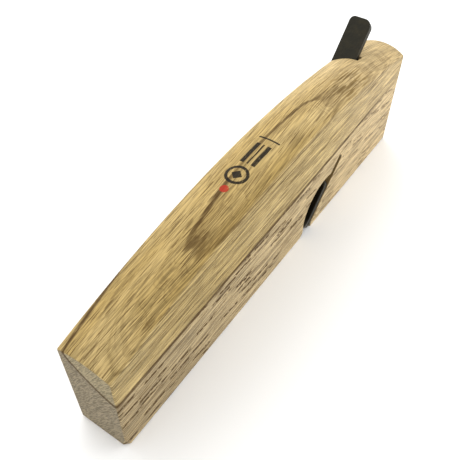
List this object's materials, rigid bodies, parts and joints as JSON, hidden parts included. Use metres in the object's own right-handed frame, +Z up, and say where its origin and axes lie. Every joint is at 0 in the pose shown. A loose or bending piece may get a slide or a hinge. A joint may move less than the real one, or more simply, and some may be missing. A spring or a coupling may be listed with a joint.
{
  "type": "hand plane",
  "caption": "Narrow wooden pull plane: a crowned oak block with a slanted L-shaped iron gripped in its slot, a round side throat and a mouth across the sole.",
  "frame": {"origin": "on the sole, midway between the toe and the heel and midway between the flanks", "axes": "+X towards the heel, +Y towards the left flank, +Z up out of the sole; the toe, which leads when the plane is pulled, is at -X"},
  "size_m": [0.21, 0.0232, 0.0718],
  "materials": {
    "oak": "planed, unvarnished oak with open pores",
    "forged_iron": "black forge scale, slightly worn on the edges",
    "honed_steel": "ground and honed hard steel"
  },
  "bodies": {
    "block": {"plane_body": "oak"},
    "iron": {"iron_shank": "forged_iron", "cutting_steel": "honed_steel"}
  },
  "joints": [
    {"name": "iron_slide", "type": "slide", "parent": "block", "child": "iron", "axis": [0.7071, 0, 0.7071], "range_m": [-0.0013, 0.0124]}
  ]
}
